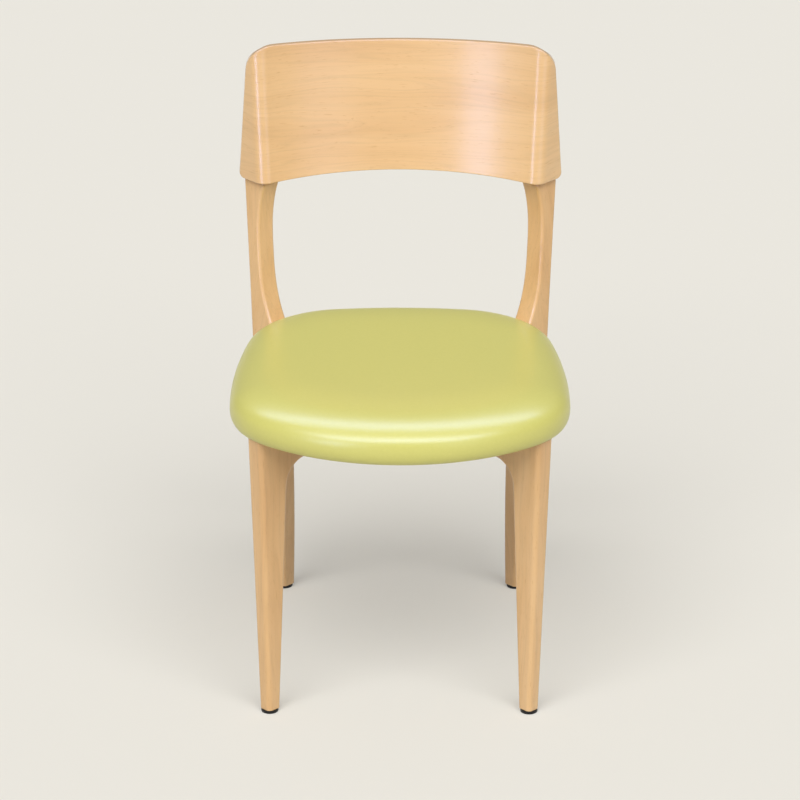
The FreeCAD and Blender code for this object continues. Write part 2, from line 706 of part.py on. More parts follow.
@lru_cache
def dowels():
    """Dowels of the four joints on the right-hand side, two to a joint, along the rails."""
    outer, inner = side_rail_span()
    front, rear = rear_rail_span()
    side_middle = (outer + inner) / 2
    rear_middle = (front + rear) / 2
    side_z = SEAT_BASE - SIDE_RAIL_HEIGHT / 2
    rear_z = SEAT_BASE - REAR_RAIL_HEIGHT / 2
    knee, elbow = leg_corner(side_z)[0], leg_corner(rear_z)[1]
    ear = diagonal(FRONT_U + FRONT_LEG_THICKNESS / 2, FRONT_V + FRONT_EAR, SEAT_BASE - FRONT_RAIL_HEIGHT / 2)
    heel_line = ROOT2 * (FRONT_U + FRONT_LEG_THICKNESS)
    joints = [(ear, Vec(1, 0, 0)),
              (Vec(side_middle, heel_line - side_middle, side_z), Vec(0, 1, 0)),
              (Vec(side_middle, knee.x + knee.y - side_middle, side_z), Vec(0, 1, 0)),
              (Vec(rear_middle + elbow.x - elbow.y, rear_middle, rear_z), Vec(1, 0, 0))]
    pegs = []
    for centre, along in joints:
        for way in (-1, 1):
            start = centre - along * (DOWEL_LENGTH / 2) + UP * (way * DOWEL_SPACING / 2)
            pegs.append(rod(start, along, DOWEL_LENGTH, DOWEL_DIAMETER))
    return pegs


def block_corners():
    """Inner corners of the frame on the right, with the way that each corner block runs in Y."""
    inner = side_rail_span()[1]
    return [(Vec(inner, front_rail_span()[1], 0), 1), (Vec(inner, rear_rail_span()[0], 0), -1)]


def bolt_places(z):
    """Centres of the four bolts that hold the seat."""
    places = []
    for corner, way in block_corners():
        place = corner + Vec(-BOLT_OFFSET, way * BOLT_OFFSET, z)
        places += [place, flipped(place)]
    return places


def block_screw_seats():
    """Where the right-hand block screws bear, and which way they run."""
    under = BLOCK_LEG - BLOCK_SCREW_OFFSET - COUNTERBORE_DEPTH
    z = SEAT_BASE - BLOCK_HEIGHT / 2
    seats = []
    for corner, way in block_corners():
        seats.append((corner + Vec(-under, way * BLOCK_SCREW_OFFSET, z), Vec(1, 0, 0)))
        seats.append((corner + Vec(-BLOCK_SCREW_OFFSET, way * under, z), Vec(0, -way, 0)))
    return seats


@lru_cache
def block_screws():
    length = BLOCK_LEG - BLOCK_SCREW_OFFSET - COUNTERBORE_DEPTH + SCREW_BITE
    return [wood_screw(seat, along, length) for seat, along in block_screw_seats()]


@lru_cache
def corner_blocks():
    """Right-hand glue blocks, front then rear."""
    blocks = []
    bores = [rod(place, UP, BLOCK_HEIGHT, BOLT_DIAMETER) for place in bolt_places(BLOCK_LOW)]
    for seat, along in block_screw_seats():
        bores.append(rod(seat - along * BLOCK_LEG, along, BLOCK_LEG, COUNTERBORE_DIAMETER))
    for corner, way in block_corners():
        plan = [(-BLOCK_CUT_CORNER, 0), (-BLOCK_LEG, 0), (0, BLOCK_LEG), (0, BLOCK_CUT_CORNER)]
        points = [corner + Vec(x, way * y, BLOCK_LOW) for x, y in plan]
        blocks.append(prism(points, UP * BLOCK_HEIGHT).cut(bores + block_screws()))
    return blocks


# Glides

def foot_centres():
    """Middle of the right-hand feet on the floor, front then rear."""
    front = diagonal(FRONT_U - FRONT_LEG_RAKE + FRONT_FOOT / 2, FRONT_V + FRONT_LEG_LEAN + FRONT_FOOT / 2)
    rear = diagonal(heel_u(GLIDE_HEIGHT) - REAR_FOOT / 2, face_v(GLIDE_HEIGHT) + REAR_FOOT / 2)
    return [front, rear]


@lru_cache
def glide_pins():
    return [rod(centre + UP * PIN_FLOOR, UP, PIN_LENGTH, PIN_DIAMETER) for centre in foot_centres()]


@lru_cache
def glides():
    discs = []
    for centre in foot_centres():
        disc = rod(centre, UP, GLIDE_HEIGHT, GLIDE_DIAMETER)
        discs.append(disc.makeFillet(GLIDE_ROUND, ring_at(disc, centre)).cut(glide_pins()))
    return discs


def chair():
    """Every node of the chair by name: left is -X, and shared fasteners are groups."""
    nodes = {"backrest_panel": [backrest_panel()], "back_screws": back_screws(), "back_plugs": back_plugs(),
             "front_rail": [front_rail()], "rear_rail": [rear_rail()], "rail_dowels": with_mirror(dowels()),
             "seat_board": [seat_board()], "seat_foam": [seat_foam()], "seat_cover": [seat_cover()],
             "dust_cover": [dust_cover()], "seat_tee_nuts": tee_nuts(), "seat_bolts": seat_bolts(),
             "block_screws": with_mirror(block_screws()), "glide_pins": with_mirror(glide_pins())}
    pairs = {"front_leg": front_leg(), "rear_leg": rear_leg(), "side_rail": side_rail()}
    for name, place in (("front", 0), ("rear", 1)):
        pairs["corner_block_" + name] = corner_blocks()[place]
        pairs["glide_" + name] = glides()[place]
    for name, shape in pairs.items():
        nodes[name + "_right"] = [shape]
        nodes[name + "_left"] = [mirrored(shape)]
    return nodes


def middle_of_depth():
    """Y of the middle of the chair's box, between the pad's front and the top of the panel."""
    rearmost = panel_lines(1 - BACK_DIP / BACK_HEIGHT)[1]["middle"]
    return (SEAT_FRONT + rearmost.y) / 2


os.makedirs("parts", exist_ok=True)
for node, shapes in chair().items():
    whole = shapes[0] if len(shapes) == 1 else Part.makeCompound(shapes)
    whole.translate(Vec(0, -middle_of_depth(), 0))
    whole.exportStep("parts/" + node + ".step")
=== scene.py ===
import math

import bpy
from mathutils import Euler, Matrix, Vector
from mathutils.bvhtree import BVHTree


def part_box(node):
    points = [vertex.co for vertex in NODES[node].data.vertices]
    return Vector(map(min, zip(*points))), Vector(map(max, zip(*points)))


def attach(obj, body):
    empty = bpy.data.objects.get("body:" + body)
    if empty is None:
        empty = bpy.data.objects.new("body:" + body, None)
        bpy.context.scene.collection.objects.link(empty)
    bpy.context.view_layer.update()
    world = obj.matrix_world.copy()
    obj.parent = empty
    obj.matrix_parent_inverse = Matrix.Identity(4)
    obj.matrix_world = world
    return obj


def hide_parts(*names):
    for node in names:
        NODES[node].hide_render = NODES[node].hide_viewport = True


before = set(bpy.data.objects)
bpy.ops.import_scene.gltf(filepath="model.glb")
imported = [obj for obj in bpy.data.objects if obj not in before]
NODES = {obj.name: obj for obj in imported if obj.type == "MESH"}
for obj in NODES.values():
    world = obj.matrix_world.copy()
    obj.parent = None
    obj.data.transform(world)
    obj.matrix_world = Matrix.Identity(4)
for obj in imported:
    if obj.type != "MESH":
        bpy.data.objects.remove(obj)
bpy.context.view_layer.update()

# Upholstered side chair with a bent plywood back, in metres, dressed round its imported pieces.
# The sitter faces -Y, and +X is the right-hand side seen from the front.

ROOT2 = math.sqrt(2.0)

# Camera: where the photograph was taken from
CAMERA_PLACE = (0.0, -4.1881, 2.0718)
CAMERA_PITCH = math.radians(21.9)
CAMERA_ROLL = math.radians(0.12)
CAMERA_LENS = 145.21
CAMERA_SENSOR = 36.0

# Seat pad: radii of its plan outline, its profile, then its upholstery
PAD_WIDEST = -0.0811
PAD_FRONT_RADIUS = 0.286
PAD_FRONT_CORNER = 0.130
PAD_SIDE_RADIUS = 0.980
PAD_REAR_CORNER = 0.141
PAD_BACK_RADIUS = 0.775
PAD_TUCK = 0.012
PAD_NOSE = 0.020
PAD_SHOULDER = 0.052
PAD_ROLL = 2.5
PAD_CROWN = 0.008
PAD_CROWN_INSET = 0.112
PAD_SLACK = 0.0015
PAD_PRESSURE = 4.0
SWELL_FRAMES = 20
CALM_STEPS = 40
PAD_POINTS = 200
HEM_RINGS = 7
NOSE_RINGS = 9
SHOULDER_RINGS = 35
CROWN_RINGS = 16
HELD_RISE = 0.004
POST_MARGIN = 0.03
POST_CLEARANCE = 0.0006
HEM_INSET = 0.054
HEM_STEP = 0.0016

# Dust cloth and staples under the pad
CLOTH_GAP = 0.0006
CLOTH_LIFT = 0.0002
CLOTH_THICKNESS = 0.0008
CLOTH_BORDER = 0.004
STAPLE_INSET = 0.046
STAPLE_COUNT = 52
STAPLE_CROWN = 0.010
STAPLE_WIRE = 0.0007
STAPLE_CLEARANCE = 0.009

# Backrest panel: plan at its foot and at its top, then its front outline
RIDGE_LOW = Vector((0.191949, 0.175352))
RIDGE_TOP = Vector((0.200918, 0.220148))
SAGITTA_LOW = 0.055
SAGITTA_TOP = 0.057
BEND_RADIUS = 0.018
WING_ANGLE = math.radians(50.0)
PANEL_THICKNESS = 0.010
PANEL_PLIES = 7
PANEL_LOW = 0.647
PANEL_TOP = 0.836
PANEL_ARCH = 0.0045
PANEL_DIP = 0.0043
PANEL_SIDE_LOW = 0.230449
PANEL_SIDE_TOP = 0.217563
PANEL_TOP_CORNER = 0.036
PANEL_LOW_CORNER = 0.007
PANEL_EASE = 0.0012
PANEL_COLUMNS = 240
PANEL_ROWS = 44
EASE_STEPS = 4

# Stage: half the floor's width, the share of glow in what the camera sees of it, the lamps and the sky
FLOOR_REACH = 30.0
FLOOR_GLOW = 0.3
SUN_WIDTH = math.radians(40)
SUN_TILT = math.radians(42)
SUN_TURN = math.radians(28)
CARD_COLOUR = (0.38, 0.52, 1.0)
SEAT_TARGET = (0, -0.25, 0.45)
BACK_TARGET = (0, 0, 0.7)
SKY_STRENGTH = 0.31

# Sockets of a Mix node for colours
MIX_FACTOR, MIX_FIRST, MIX_SECOND, MIX_RESULT = 0, 6, 7, 2


def link(obj):
    bpy.context.scene.collection.objects.link(obj)
    return obj


def mesh_piece(name, points, faces, material):
    """New smooth piece on the chair's one body."""
    mesh = bpy.data.meshes.new(name)
    mesh.from_pydata([tuple(point) for point in points], [], faces)
    mesh.shade_smooth()
    mesh.materials.append(material)
    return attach(link(bpy.data.objects.new(name, mesh)), "root")


def mix(first, second, share):
    return first + (second - first) * share


# Materials

def linear(red, green, blue):
    """Colour as the shader takes it, from the 0 to 255 values of a screen colour."""
    def channel(value):
        share = value / 255
        return share / 12.92 if share <= 0.04045 else ((share + 0.055) / 1.055) ** 2.4
    return (channel(red), channel(green), channel(blue), 1.0)


def node(tree, kind, inputs=None, **settings):
    """New shader node, with its settings made and its inputs set or linked."""
    made = tree.nodes.new("ShaderNode" + kind)
    for key, value in settings.items():
        setattr(made, key, value)
    for key, value in (inputs or {}).items():
        plug(tree, made, key, value)
    return made


def plug(tree, made, key, value):
    if isinstance(value, bpy.types.NodeSocket):
        tree.links.new(value, made.inputs[key])
    else:
        made.inputs[key].default_value = value


def ramp(tree, factor, stops):
    """Colour ramp through (place, colour) stops."""
    made = node(tree, "ValToRGB", {"Fac": factor})
    elements = made.color_ramp.elements
    while len(elements) < len(stops):
        elements.new(0.5)
    for element, (place, colour) in zip(elements, stops):
        element.position = place
        element.color = colour
    return made.outputs["Color"]


def grey(value):
    return (value, value, value, 1.0)


def blend(tree, factor, first, second, kind="MIX"):
    """Two colours mixed by a factor."""
    inputs = {MIX_FACTOR: factor, MIX_FIRST: first, MIX_SECOND: second}
    return node(tree, "Mix", inputs, data_type="RGBA", blend_type=kind).outputs[MIX_RESULT]


def multiply(tree, first, *others):
    """Product of colours."""
    for other in others:
        first = blend(tree, 1.0, first, other, "MULTIPLY")
    return first


def new_material(name):
    material = bpy.data.materials.new(name)
    material.use_nodes = True
    return material, material.node_tree, material.node_tree.nodes["Principled BSDF"]


def finish_shader(tree, shader, colour, roughness, height, bump, **sockets):
    """Joins colour, roughness and bump to the shader and sets its constant sockets."""
    plug(tree, shader, "Base Color", colour)
    plug(tree, shader, "Roughness", roughness)
    relief = node(tree, "Bump", {"Height": height, "Strength": 1.0, "Distance": bump})
    tree.links.new(relief.outputs["Normal"], shader.inputs["Normal"])
    for key, value in sockets.items():
        shader.inputs[key.replace("_", " ").title().replace("Ior", "IOR")].default_value = value


def object_place(tree):
    return node(tree, "TexCoord").outputs["Object"]


def drawn_noise(tree, place, along, across_scale, along_scale, detail, roughness=0.5):
    """Noise drawn out along one axis."""
    scale = [across_scale] * 3
    scale[along] = along_scale
    spot = node(tree, "Mapping", {"Vector": place, "Scale": scale}).outputs["Vector"]
    inputs = {"Vector": spot, "Scale": 1.0, "Detail": detail, "Roughness": roughness}
    return node(tree, "TexNoise", inputs).outputs


def wandering(tree, place, along, reach):
    """Texture place pushed to and fro by slow noise, so that grain lines aren't straight."""
    slow = drawn_noise(tree, place, along, across_scale=14, along_scale=3.0, detail=2.0)["Color"]
    centred = node(tree, "VectorMath", {0: slow, 1: (0.5, 0.5, 0.5)}, operation="SUBTRACT")
    push = node(tree, "VectorMath", {0: centred.outputs["Vector"], "Scale": reach}, operation="SCALE")
    moved = node(tree, "VectorMath", {0: place, 1: push.outputs["Vector"]}, operation="ADD")
    return moved.outputs["Vector"]


BEECH_TONES = (linear(236, 194, 140), linear(229, 184, 127), linear(218, 170, 113))
VENEER_TONES = (linear(238, 197, 143), linear(234, 191, 136), linear(227, 182, 127))
RAY_FLECK = linear(242, 235, 226)
DARK_PLY = linear(234, 226, 216)


def wood_grain(tree, place, along, tones):
    """Beech: broad tone, growth lines, fine streaks and short dark rays, all drawn out along the grain."""
    place = wandering(tree, place, along, reach=0.045)
    broad = drawn_noise(tree, place, along, across_scale=22, along_scale=2.4, detail=3.0)["Fac"]
    tone = ramp(tree, broad, list(zip((0.32, 0.52, 0.72), tones)))
    rings = drawn_noise(tree, place, along, across_scale=46, along_scale=1.6, detail=1.0)["Fac"]
    curves = ramp(tree, rings, [(0.40, grey(1.0)), (0.43, grey(0.955)), (0.46, grey(1.0)),
                                (0.52, grey(1.0)), (0.55, grey(0.95)), (0.58, grey(1.0))])
    fine = drawn_noise(tree, place, along, across_scale=340, along_scale=6, detail=3.0, roughness=0.6)["Fac"]
    streaks = ramp(tree, fine, [(0.34, grey(0.965)), (0.52, grey(1.0)), (0.70, grey(1.01))])
    rays = drawn_noise(tree, place, along, across_scale=900, along_scale=60, detail=1.0)["Fac"]
    flecks = ramp(tree, rays, [(0.26, RAY_FLECK), (0.34, grey(1.0))])
    return multiply(tree, tone, curves, streaks, flecks), rays


def beech(name, along):
    """Lacquered solid beech with its grain along one axis."""
    material, tree, shader = new_material(name)
    colour, rays = wood_grain(tree, object_place(tree), along, BEECH_TONES)
    roughness = ramp(tree, rays, [(0.30, grey(0.48)), (0.60, grey(0.38))])
    finish_shader(tree, shader, colour, roughness, rays, bump=0.00004,
                  coat_weight=0.8, coat_roughness=0.2)
    return material


def veneer():
    """Lacquered beech veneer with its grain across the panel, and plies in the panel's edge."""
    material, tree, shader = new_material("beech_plywood")
    place = node(tree, "Attribute", attribute_name="grain").outputs["Vector"]
    colour, rays = wood_grain(tree, place, 0, VENEER_TONES)
    depth = node(tree, "SeparateXYZ", {"Vector": place}).outputs["Y"]
    ply = PANEL_THICKNESS / PANEL_PLIES
    turn = node(tree, "Math", {0: depth, 1: math.pi / ply, 2: -math.pi / 2}, operation="MULTIPLY_ADD")
    wave = node(tree, "Math", {0: turn.outputs["Value"]}, operation="COSINE")
    level = node(tree, "Math", {0: wave.outputs["Value"], 1: 0.5, 2: 0.5}, operation="MULTIPLY_ADD")
    plies = ramp(tree, level.outputs["Value"], [(0.25, DARK_PLY), (0.45, grey(1.0))])
    roughness = ramp(tree, rays, [(0.30, grey(0.42)), (0.60, grey(0.34))])
    finish_shader(tree, shader, multiply(tree, colour, plies), roughness, rays, bump=0.00003,
                  coat_weight=1.0, coat_roughness=0.24)
    return material


def vinyl():
    """Smooth yellow-green vinyl with a fine pebbled grain."""
    material, tree, shader = new_material("vinyl")
    place = object_place(tree)
    cells = node(tree, "TexVoronoi", {"Vector": place, "Scale": 1100.0}, feature="SMOOTH_F1")
    cloud = node(tree, "TexNoise", {"Vector": place, "Scale": 240.0, "Detail": 2.0})
    colour = ramp(tree, cloud.outputs["Fac"], [(0.0, linear(212, 208, 112)), (1.0, linear(218, 213, 119))])
    roughness = ramp(tree, cloud.outputs["Fac"], [(0.0, grey(0.31)), (1.0, grey(0.35))])
    finish_shader(tree, shader, colour, roughness, cells.outputs["Distance"], bump=0.00001,
                  specular_ior_level=0.8)
    return material


def plain(name, first, second, scale, roughness, bump, **sockets):
    """Simple surface: two near colours in fine noise, with a little relief."""
    material, tree, shader = new_material(name)
    speckle = node(tree, "TexNoise", {"Vector": object_place(tree), "Scale": scale, "Detail": 4.0})
    factor = speckle.outputs["Fac"]
    colour = ramp(tree, factor, [(0.35, first), (0.65, second)])
    spread = ramp(tree, factor, [(0.3, grey(roughness * 0.85)), (0.7, grey(roughness * 1.15))])
    finish_shader(tree, shader, colour, spread, factor, bump, **sockets)
    return material


# Seat pad

def right_hand_centre(first, first_reach, second, second_reach):
    """Centre of an arc that lies at given distances from two other centres."""
    span = second - first
    along = (span.length_squared + first_reach ** 2 - second_reach ** 2) / (2 * span.length)
    aside = math.sqrt(first_reach ** 2 - along ** 2)
    unit = span.normalized()
    foot = first + unit * along
    normal = Vector((-unit.y, unit.x))
    return max(foot + normal * aside, foot - normal * aside, key=lambda point: point.x)


def heading(centre, other):
    return math.atan2(other.y - centre.y, other.x - centre.x)


def pad_arcs():
    """Arcs of the right half of the pad's outline, from the middle of its back to that of its front."""
    low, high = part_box("seat_cover")
    back = Vector((0.0, high.y - PAD_BACK_RADIUS))
    front = Vector((0.0, low.y + PAD_FRONT_RADIUS))
    side = Vector((high.x - PAD_SIDE_RADIUS, PAD_WIDEST))
    rear_corner = right_hand_centre(back, PAD_BACK_RADIUS - PAD_REAR_CORNER,
                                    side, PAD_SIDE_RADIUS - PAD_REAR_CORNER)
    front_corner = right_hand_centre(front, PAD_FRONT_RADIUS - PAD_FRONT_CORNER,
                                     side, PAD_SIDE_RADIUS - PAD_FRONT_CORNER)
    turns = [math.pi / 2, heading(back, rear_corner), heading(side, rear_corner),
             heading(side, front_corner), heading(front, front_corner), -math.pi / 2]
    circles = [(back, PAD_BACK_RADIUS), (rear_corner, PAD_REAR_CORNER), (side, PAD_SIDE_RADIUS),
               (front_corner, PAD_FRONT_CORNER), (front, PAD_FRONT_RADIUS)]
    return [(centre, radius, start, end)
            for (centre, radius), start, end in zip(circles, turns, turns[1:])]


def pad_stations(count):
    """Evenly spaced (centre, radius, angle, side) round the whole outline."""
    arcs = pad_arcs()
    lengths = [radius * (start - end) for centre, radius, start, end in arcs]
    stations = []
    for step in range(count // 2):
        along = (step + 0.5) * sum(lengths) / (count // 2)
        for (centre, radius, start, end), length in zip(arcs, lengths):
            if along <= length:
                stations.append((centre, radius, start - along / radius, 1))
                break
            along -= length
    return stations + [(centre, radius, angle, -1) for centre, radius, angle, side in reversed(stations)]


def pad_ring(stations, inset, z):
    """The outline drawn in by an inset, at one height."""
    ring = []
    for centre, radius, angle, side in stations:
        ring.append(Vector((side * (centre.x + (radius - inset) * math.cos(angle)),
                            centre.y + (radius - inset) * math.sin(angle), z)))
    return ring


def right_post():
    """The right-hand post as a tree for rays, and a point in the post at the height of the pad."""
    mesh = NODES["rear_leg_right"].data
    low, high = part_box("seat_cover")
    spots = [v.co for v in mesh.vertices if low.z - POST_MARGIN < v.co.z < high.z + POST_MARGIN]
    us = [(spot.x + spot.y) / ROOT2 for spot in spots]
    vs = [(spot.y - spot.x) / ROOT2 for spot in spots]
    tree = BVHTree.FromPolygons([v.co for v in mesh.vertices], [list(p.vertices) for p in mesh.polygons])
    return tree, (min(us) + max(us)) / 2, (min(vs) + max(vs)) / 2


def post_room(post, z):
    """Room that the right-hand post needs at one height: its front in u, then its two sides in v."""
    tree, u, v = post
    heart = Vector(((u - v) / ROOT2, (u + v) / ROOT2, z))

    def reach(direction):
        return tree.ray_cast(heart - direction, direction)[3] - 1.0

    outward = Vector((1, 1, 0)) / ROOT2
    inward = Vector((-1, 1, 0)) / ROOT2
    return (u + reach(outward) - POST_CLEARANCE, v + reach(inward) - POST_CLEARANCE,
            v - reach(-inward) + POST_CLEARANCE)


def clear_of_post(point, room):
    """Point moved to the nearest wall of the notch if it lies in the post's room."""
    front, outer, inner = room
    u = (abs(point.x) + point.y) / ROOT2
    v = (point.y - abs(point.x)) / ROOT2
    if u <= front or v <= outer or v >= inner:
        return point, False
    walls = [(u - front, front, v), (v - outer, u, outer), (inner - v, u, inner)]
    _, u, v = min(walls)
    side = math.copysign(1.0, point.x)
    return Vector((side * (u - v) / ROOT2, (u + v) / ROOT2, point.z)), True


def pad_profile():
    """(inset, rise) from the hem under the pad, round its nose and over its shoulder to the crown."""
    low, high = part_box("seat_cover")
    upper = high.z - low.z - PAD_NOSE
    steps = [(HEM_INSET, HEM_STEP), (HEM_INSET, 0.0)]
    for count in range(1, HEM_RINGS):
        steps.append((mix(HEM_INSET, PAD_TUCK, count / HEM_RINGS), 0.0))
    for count in range(NOSE_RINGS):
        angle = count / NOSE_RINGS * math.pi / 2
        steps.append((PAD_TUCK * (1 - math.sin(angle)), PAD_NOSE * (1 - math.cos(angle))))
    for count in range(SHOULDER_RINGS + 1):
        inset = PAD_CROWN_INSET * (1 - math.cos(count / SHOULDER_RINGS * math.pi / 2))
        shoulder = (1 - max(0.0, 1 - inset / PAD_SHOULDER) ** PAD_ROLL) ** (1 / PAD_ROLL)
        crown = 1 - (1 - inset / PAD_CROWN_INSET) ** 2
        steps.append((inset, PAD_NOSE + (upper - PAD_CROWN) * shoulder + PAD_CROWN * crown))
    return steps


def ring_faces(rings, flip=False):
    """Faces of a closed body of rings: the bands between them, then its last and its first ring."""
    faces = []
    for row in range(len(rings) - 1):
        for column in range(PAD_POINTS):
            after = (column + 1) % PAD_POINTS
            faces.append([row * PAD_POINTS + column, (row + 1) * PAD_POINTS + column,
                          (row + 1) * PAD_POINTS + after, row * PAD_POINTS + after])
    faces.append([(len(rings) - 1) * PAD_POINTS + column for column in reversed(range(PAD_POINTS))])
    faces.append(list(range(PAD_POINTS)))
    return [face[:1] + face[:0:-1] for face in faces] if flip else faces


def pad_form():
    """Points and faces of the closed pad, and which points the upholstery holds still."""
    stations = pad_stations(PAD_POINTS)
    low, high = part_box("seat_cover")
    middle = (low.y + high.y) / 2
    post = right_post()
    rings = []
    for inset, rise in pad_profile():
        rings.append(pad_ring(stations, inset, low.z + rise))
    crown = rings[-1]
    for count in range(1, CROWN_RINGS):
        share = 1 - count / CROWN_RINGS
        rings.append([Vector((p.x * share, mix(middle, p.y, share), p.z)) for p in crown])
    points, held = [], []
    for ring in rings:
        room = post_room(post, ring[0].z)
        for point in ring:
            place, moved = clear_of_post(point, room)
            points.append(place)
            held.append(moved or place.z < low.z + HELD_RISE)
    return points, ring_faces(rings), held


def calmed(moves, held):
    """Moves shared out among neighbours round and across the pad, so that no wrinkle is left."""
    last = len(moves) - PAD_POINTS
    for _ in range(CALM_STEPS):
        fresh = []
        for index, move in enumerate(moves):
            row = index - index % PAD_POINTS
            before = moves[row + (index - 1) % PAD_POINTS]
            after = moves[row + (index + 1) % PAD_POINTS]
            below = moves[max(index - PAD_POINTS, index % PAD_POINTS)]
            above = moves[min(index + PAD_POINTS, last + index % PAD_POINTS)]
            fresh.append(Vector() if held[index] else (move + before + after + below + above) / 5)
        moves = fresh
    return moves


def swell(pad, held):
    """Filling pressed out against the cover by a cloth simulation, no further than the cover's slack."""
    fixed = [index for index, fast in enumerate(held) if fast]
    pad.vertex_groups.new(name="held").add(fixed, 1.0, "REPLACE")
    cloth = pad.modifiers.new("swell", "CLOTH")
    cloth.settings.vertex_group_mass = "held"
    cloth.settings.use_pressure = True
    cloth.settings.uniform_pressure_force = PAD_PRESSURE
    cloth.settings.effector_weights.gravity = 0.0
    scene = bpy.context.scene
    for moment in range(1, SWELL_FRAMES + 1):
        scene.frame_set(moment)
    shown = pad.evaluated_get(bpy.context.evaluated_depsgraph_get())
    swollen = [vertex.co.copy() for vertex in shown.data.vertices]
    pad.modifiers.remove(cloth)
    scene.frame_set(1)
    moves = []
    for vertex, place in zip(pad.data.vertices, swollen):
        move = place - vertex.co
        moves.append(move * min(1.0, PAD_SLACK / max(move.length, PAD_SLACK)))
    for vertex, move in zip(pad.data.vertices, calmed(moves, held)):
        vertex.co += move


def seat_pad(material):
    points, faces, held = pad_form()
    pad = mesh_piece("seat_pad", points, faces, material)
    swell(pad, held)
    pad.modifiers.new("smooth", "SUBSURF").render_levels = 1
    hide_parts("seat_cover", "seat_foam")


def dust_cloth(material):
    """Cloth stretched over the opening in the cover's underside."""
    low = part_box("seat_cover")[0].z + CLOTH_LIFT
    high = low + CLOTH_THICKNESS
    rings = []
    for inset, z in ((CLOTH_BORDER, low), (0.0, low), (0.0, high), (CLOTH_BORDER, high)):
        rings.append(pad_ring(pad_stations(PAD_POINTS), HEM_INSET + CLOTH_GAP + inset, z))
    points = [point for ring in rings for point in ring]
    cloth = mesh_piece("dust_cloth", points, ring_faces(rings, flip=True), material)
    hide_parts("dust_cover")


def staples(material):
    """Staples along the cover's hem, left out where the frame lies against it."""
    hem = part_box("seat_cover")[0].z
    frame_pieces = [obj for name, obj in NODES.items() if "leg" in name or "rail" in name or "block" in name]
    ring = pad_ring(pad_stations(STAPLE_COUNT), STAPLE_INSET, hem)
    points, faces = [], []
    for before, place, after in zip(ring[-1:] + ring[:-1], ring, ring[1:] + ring[:1]):
        gaps = [(obj.closest_point_on_mesh(place)[1] - place).length for obj in frame_pieces]
        if min(gaps) < STAPLE_CLEARANCE:
            continue
        along = (after - before).normalized()
        aside = Vector((-along.y, along.x, 0.0)) * (STAPLE_WIRE / 2)
        half = along * (STAPLE_CROWN / 2)
        start = len(points)
        for lift in (-STAPLE_WIRE, STAPLE_WIRE / 2):
            for corner in (-half - aside, half - aside, half + aside, -half + aside):
                points.append(place + corner + Vector((0, 0, lift)))
        faces += [[start + 3, start + 2, start + 1, start], [start + 4, start + 5, start + 6, start + 7]]
        for side in range(4):
            follow = (side + 1) % 4
            faces.append([start + side, start + follow, start + 4 + follow, start + 4 + side])
    wires = mesh_piece("hem_staples", points, faces, material)
    wires.data.shade_flat()


# Backrest

def panel_bends(z, depth):
    """The panel's plan at one height: bow centre and radius, join, hub and radius of the bend, wing."""
    share = (z - PANEL_LOW) / (PANEL_TOP - PANEL_LOW)
    ridge = RIDGE_LOW.lerp(RIDGE_TOP, share)
    sagitta = mix(SAGITTA_LOW, SAGITTA_TOP, share)
    reach = (sagitta ** 2 + ridge.x ** 2) / (2 * sagitta)
    bow = ridge.y + sagitta + BEND_RADIUS - reach
    bow_radius = reach - BEND_RADIUS + depth
    join = ridge.x / reach * bow_radius
    hub = Vector((ridge.x, ridge.y + BEND_RADIUS))
    bend = BEND_RADIUS - depth
    return bow, bow_radius, join, hub, bend, hub.x + math.sin(WING_ANGLE) * bend


def panel_y(x, z, depth):
    """Y of the panel's surface at a depth below its front face."""
    bow, bow_radius, join, hub, bend, wing = panel_bends(z, depth)
    if x <= join:
        return bow + math.sqrt(bow_radius ** 2 - x ** 2)
    if x <= wing:
        return hub.y - math.sqrt(bend ** 2 - (x - hub.x) ** 2)
    return hub.y - math.cos(WING_ANGLE) * bend + (x - wing) * math.tan(WING_ANGLE)


def panel_run(x, z):
    """Length along the front face from the panel's middle, round the bend and out along the wing."""
    _, bow_radius, join, hub, bend, wing = panel_bends(z, 0.0)
    run = bow_radius * math.asin(min(x, join) / bow_radius)
    if x > join:
        run += bend * (math.asin((min(x, wing) - hub.x) / bend) - math.asin((join - hub.x) / bend))
    return run + max(0.0, x - wing) / math.cos(WING_ANGLE)


def rounded_in(distance, radius):
    """How far a rounded corner draws the side in at a distance from the corner's end."""
    if distance >= radius:
        return 0.0
    return radius - math.sqrt(max(0.0, radius ** 2 - (radius - distance) ** 2))


def panel_point(across, up, inset, depth):
    """Point of the panel at shares across and up its outline, drawn in and down into its thickness."""
    sweep = (RIDGE_TOP.x ** 2 + PANEL_DIP ** 2) / (2 * PANEL_DIP)
    shoulder = PANEL_TOP - PANEL_DIP + sweep - math.sqrt(sweep ** 2 - PANEL_SIDE_TOP ** 2)
    level = mix(PANEL_LOW + inset, shoulder - inset, up)
    side = mix(PANEL_SIDE_LOW, PANEL_SIDE_TOP, (level - PANEL_LOW) / (shoulder - PANEL_LOW)) - inset
    side -= rounded_in(shoulder - inset - level, PANEL_TOP_CORNER - inset)
    side -= rounded_in(level - PANEL_LOW - inset, PANEL_LOW_CORNER - inset)
    x = across * side
    top = PANEL_TOP - PANEL_DIP - inset + sweep - math.sqrt(sweep ** 2 - x ** 2)
    low = PANEL_LOW + inset + PANEL_ARCH * max(0.0, 1 - (x / RIDGE_LOW.x) ** 2)
    z = mix(low, top, up)
    return Vector((x, panel_y(abs(x), z, depth), z))


